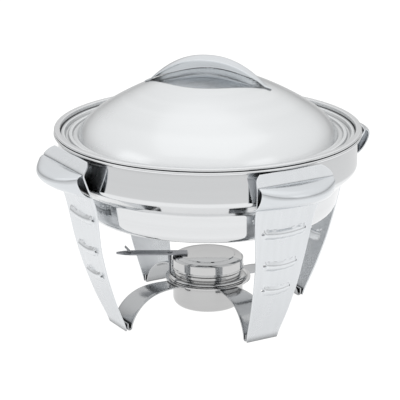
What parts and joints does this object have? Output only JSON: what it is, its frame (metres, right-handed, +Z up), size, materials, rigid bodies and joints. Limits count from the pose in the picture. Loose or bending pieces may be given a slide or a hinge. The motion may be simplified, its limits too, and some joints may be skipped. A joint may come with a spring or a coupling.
{
  "type": "chafing dish",
  "caption": "Round stainless chafing dish with a domed lift-off lid, food and water pans, a legged frame with crescent grips, and a fuel holder with a swivel snuffer.",
  "frame": {"origin": "on the floor, under the centre of the pans", "axes": "+Z up through the centre of the pans and the fuel holder; X along the lid's handle; the legs stand on the diagonals"},
  "size_m": [0.3998, 0.3998, 0.3455],
  "materials": {
    "satin_steel": "fine satin stainless sheet",
    "polished_steel": "mirror polished stainless sheet",
    "grip_steel": "polished stainless pressing, slightly blue-grey",
    "dark_steel": "dull dark steel",
    "can_tin": "plain tinplate"
  },
  "bodies": {
    "frame": {"leg_front_left": "satin_steel", "grip_front_left": "grip_steel", "strap_front_left": "satin_steel", "leg_front_right": "satin_steel", "grip_front_right": "grip_steel", "strap_front_right": "satin_steel", "leg_back_right": "satin_steel", "grip_back_right": "grip_steel", "strap_back_right": "satin_steel", "leg_back_left": "satin_steel", "grip_back_left": "grip_steel", "strap_back_left": "satin_steel", "burner_ring": "polished_steel"},
    "water_pan": {"water_pan": "polished_steel"},
    "food_pan": {"food_pan": "polished_steel"},
    "lid": {"lid_cover": "satin_steel", "lid_handle": "grip_steel", "lid_handle_screw_left": "dark_steel", "lid_handle_screw_right": "dark_steel"},
    "fuel_holder": {"fuel_cup": "polished_steel", "fuel_collar": "polished_steel", "fuel_can": "can_tin", "pivot_pin": "dark_steel"},
    "snuffer": {"snuffer_cover": "polished_steel", "snuffer_arm": "dark_steel"}
  },
  "joints": [
    {"name": "water_pan_lift", "type": "slide", "parent": "frame", "child": "water_pan", "axis": [0, 0, 1], "range_m": [0, 0.15]},
    {"name": "food_pan_lift", "type": "slide", "parent": "water_pan", "child": "food_pan", "axis": [0, 0, 1], "range_m": [0, 0.12]},
    {"name": "lid_lift", "type": "slide", "parent": "food_pan", "child": "lid", "axis": [0, 0, 1], "range_m": [0, 0.2]},
    {"name": "fuel_holder_lift", "type": "slide", "parent": "frame", "child": "fuel_holder", "axis": [0, 0, 1], "range_m": [0, 0.045]},
    {"name": "snuffer_swing", "type": "hinge", "parent": "fuel_holder", "child": "snuffer", "pos_m": [-0.04847, -0.01344, 0.077], "axis": [0, 0, 1], "range_deg": [0, 140]}
  ]
}
